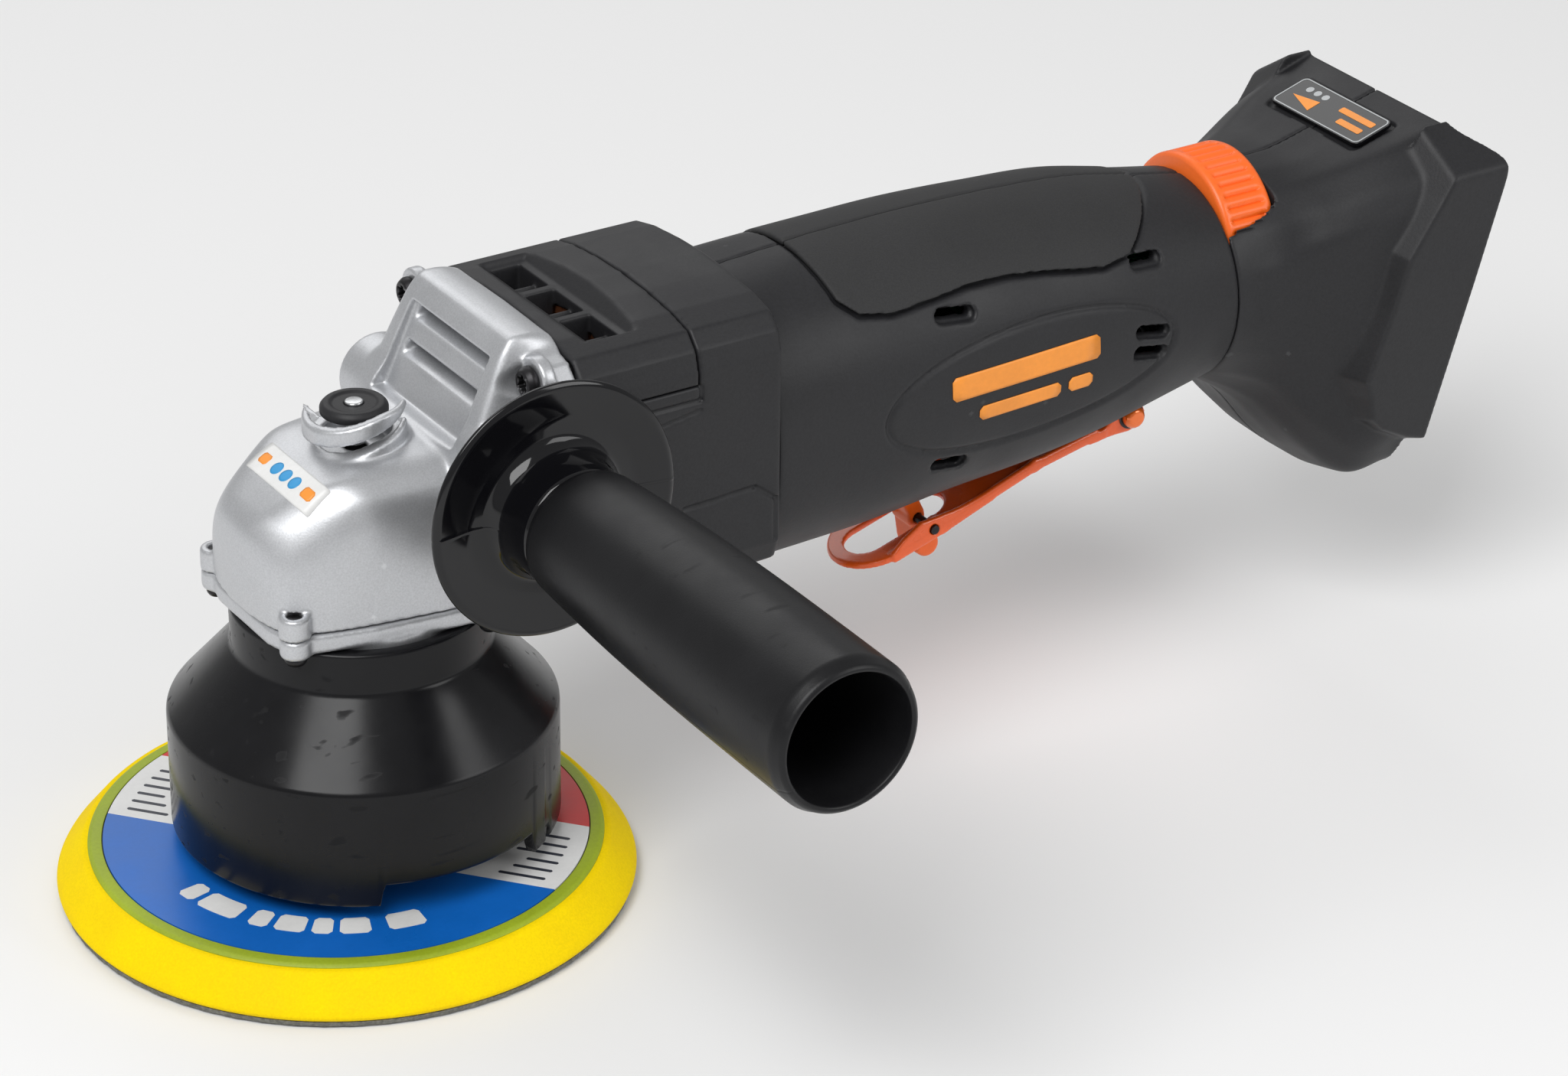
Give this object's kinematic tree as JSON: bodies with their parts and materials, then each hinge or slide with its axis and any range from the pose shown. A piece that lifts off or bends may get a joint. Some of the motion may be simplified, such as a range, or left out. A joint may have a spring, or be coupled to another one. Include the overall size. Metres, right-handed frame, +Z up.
{
  "type": "cordless orbital sander",
  "caption": "Cordless orbital sander with an angled gear head, round foam pad under a shroud, side handle, paddle lever and an open battery receptacle.",
  "frame": {"origin": "centre of rotation of the spindle, on the underside of the sanding pad", "axes": "+Z up along the spindle axis; +X along the motor axis from the spindle towards the battery end; the side handle points to -Y"},
  "size_m": [0.3449, 0.2175, 0.129],
  "materials": {
    "cast_alloy": "satin die-cast",
    "bright_steel": "ground",
    "dark_steel": "black oxide",
    "core_steel": "varnished laminations",
    "winding_copper": "varnished copper and laminations",
    "commutator_copper": "turned",
    "terminal_brass": "tinned",
    "black_plastic": "fine moulded texture",
    "gloss_black": "glossy",
    "shroud_black": "semi-gloss with light scuffs",
    "handle_black": "soft-touch",
    "grip_rubber": "ribbed matt",
    "lever_paint": "gloss orange paint",
    "orange_plastic": "satin",
    "pin_amber": "gloss",
    "pad_foam": "closed-cell foam, matt",
    "hook_fabric": "hook pile",
    "pad_print": "printed film",
    "board": "solder mask",
    "carbon": "graphite"
  },
  "bodies": {
    "housing": {"gear_case": "cast_alloy", "bearing_plate": "cast_alloy", "shroud": "shroud_black", "plate_screw_1": "dark_steel", "plate_screw_2": "dark_steel", "plate_screw_3": "dark_steel", "plate_screw_4": "dark_steel", "head_screw_1": "dark_steel", "head_screw_2": "dark_steel", "head_screw_3": "dark_steel", "head_screw_4": "dark_steel", "bearing_upper": "bright_steel", "bearing_lower": "bright_steel", "motor_bearing_front": "bright_steel", "stator": "winding_copper", "field_case": "black_plastic", "vent_cover": "black_plastic", "grip_shell_left": "black_plastic", "grip_shell_right": "black_plastic", "grip_rubber_left": "grip_rubber", "grip_rubber_right": "grip_rubber", "motor_bearing_rear": "bright_steel", "shell_screw_1": "dark_steel", "shell_screw_2": "dark_steel", "shell_screw_3": "dark_steel", "brush_left": "carbon", "brush_right": "carbon", "foot_left": "black_plastic", "foot_right": "black_plastic", "terminal_block": "black_plastic", "terminal_1": "terminal_brass", "terminal_2": "terminal_brass", "charge_display": "gloss_black", "control_board": "board", "lever_pin": "pin_amber", "switch_body": "black_plastic"},
    "spindle": {"spindle": "bright_steel", "crown_gear": "dark_steel", "eccentric_hub": "dark_steel", "pad_bearing": "bright_steel"},
    "pad": {"pad_bolt": "bright_steel", "pad_plate": "black_plastic", "pad_label": "pad_print", "pad_foam": "pad_foam", "pad_hook": "hook_fabric"},
    "armature": {"pinion": "dark_steel", "armature_shaft": "bright_steel", "fan": "black_plastic", "armature_core": "core_steel", "commutator": "commutator_copper"},
    "spindle_lock": {"lock_button": "black_plastic", "lock_pin": "bright_steel"},
    "speed_dial": {"speed_dial": "orange_plastic"},
    "lever": {"lever": "lever_paint", "lock_tab_pin": "dark_steel"},
    "lock_off": {"lock_tab": "orange_plastic"},
    "switch": {"switch_plunger": "gloss_black"},
    "side_handle": {"handle_stud": "bright_steel", "handle_flange": "gloss_black", "handle_grip": "handle_black"}
  },
  "joints": [
    {"name": "spindle_turn", "type": "hinge", "parent": "housing", "child": "spindle", "pos_m": [0, 0, 0.09], "axis": [0, 0, 1], "continuous": true},
    {"name": "pad_turn", "type": "hinge", "parent": "spindle", "child": "pad", "pos_m": [-0.005, 0, 0.03], "axis": [0, 0, 1], "continuous": true},
    {"name": "armature_turn", "type": "hinge", "parent": "housing", "child": "armature", "pos_m": [0.07, 0, 0.092], "axis": [1, 0, 0], "continuous": true},
    {"name": "lock_press", "type": "slide", "parent": "housing", "child": "spindle_lock", "axis": [0, 0, -1], "range_m": [0, 0.0022], "stiffness_N_per_m": 600, "springref_m": -0.003},
    {"name": "dial_turn", "type": "hinge", "parent": "housing", "child": "speed_dial", "pos_m": [0.2193, 0, 0.1006], "axis": [1, 0, 0], "range_deg": [-130, 130]},
    {"name": "lever_squeeze", "type": "hinge", "parent": "housing", "child": "lever", "pos_m": [0.193, 0, 0.0636], "axis": [0, 1, 0], "range_deg": [0, 8], "stiffness_Nm_per_rad": 0.6, "springref_deg": -8.59},
    {"name": "lock_off_turn", "type": "hinge", "parent": "lever", "child": "lock_off", "pos_m": [0.1394, 0, 0.0486], "axis": [0, 1, 0], "range_deg": [-35, 0], "stiffness_Nm_per_rad": 0.02, "springref_deg": 17.19},
    {"name": "plunger_press", "type": "slide", "parent": "housing", "child": "switch", "axis": [0, 0, 1], "range_m": [0, 0.0055]},
    {"name": "handle_screw", "type": "hinge", "parent": "housing", "child": "side_handle", "pos_m": [0.0213, -0.1, 0.1008], "axis": [0, 1, 0], "range_deg": [-180, 180]}
  ],
  "couplings": [
    {"joint": "armature_turn", "follows": "spindle_turn", "ratio": 3},
    {"joint": "plunger_press", "follows": "lever_squeeze", "m_per_rad": 0.037}
  ]
}
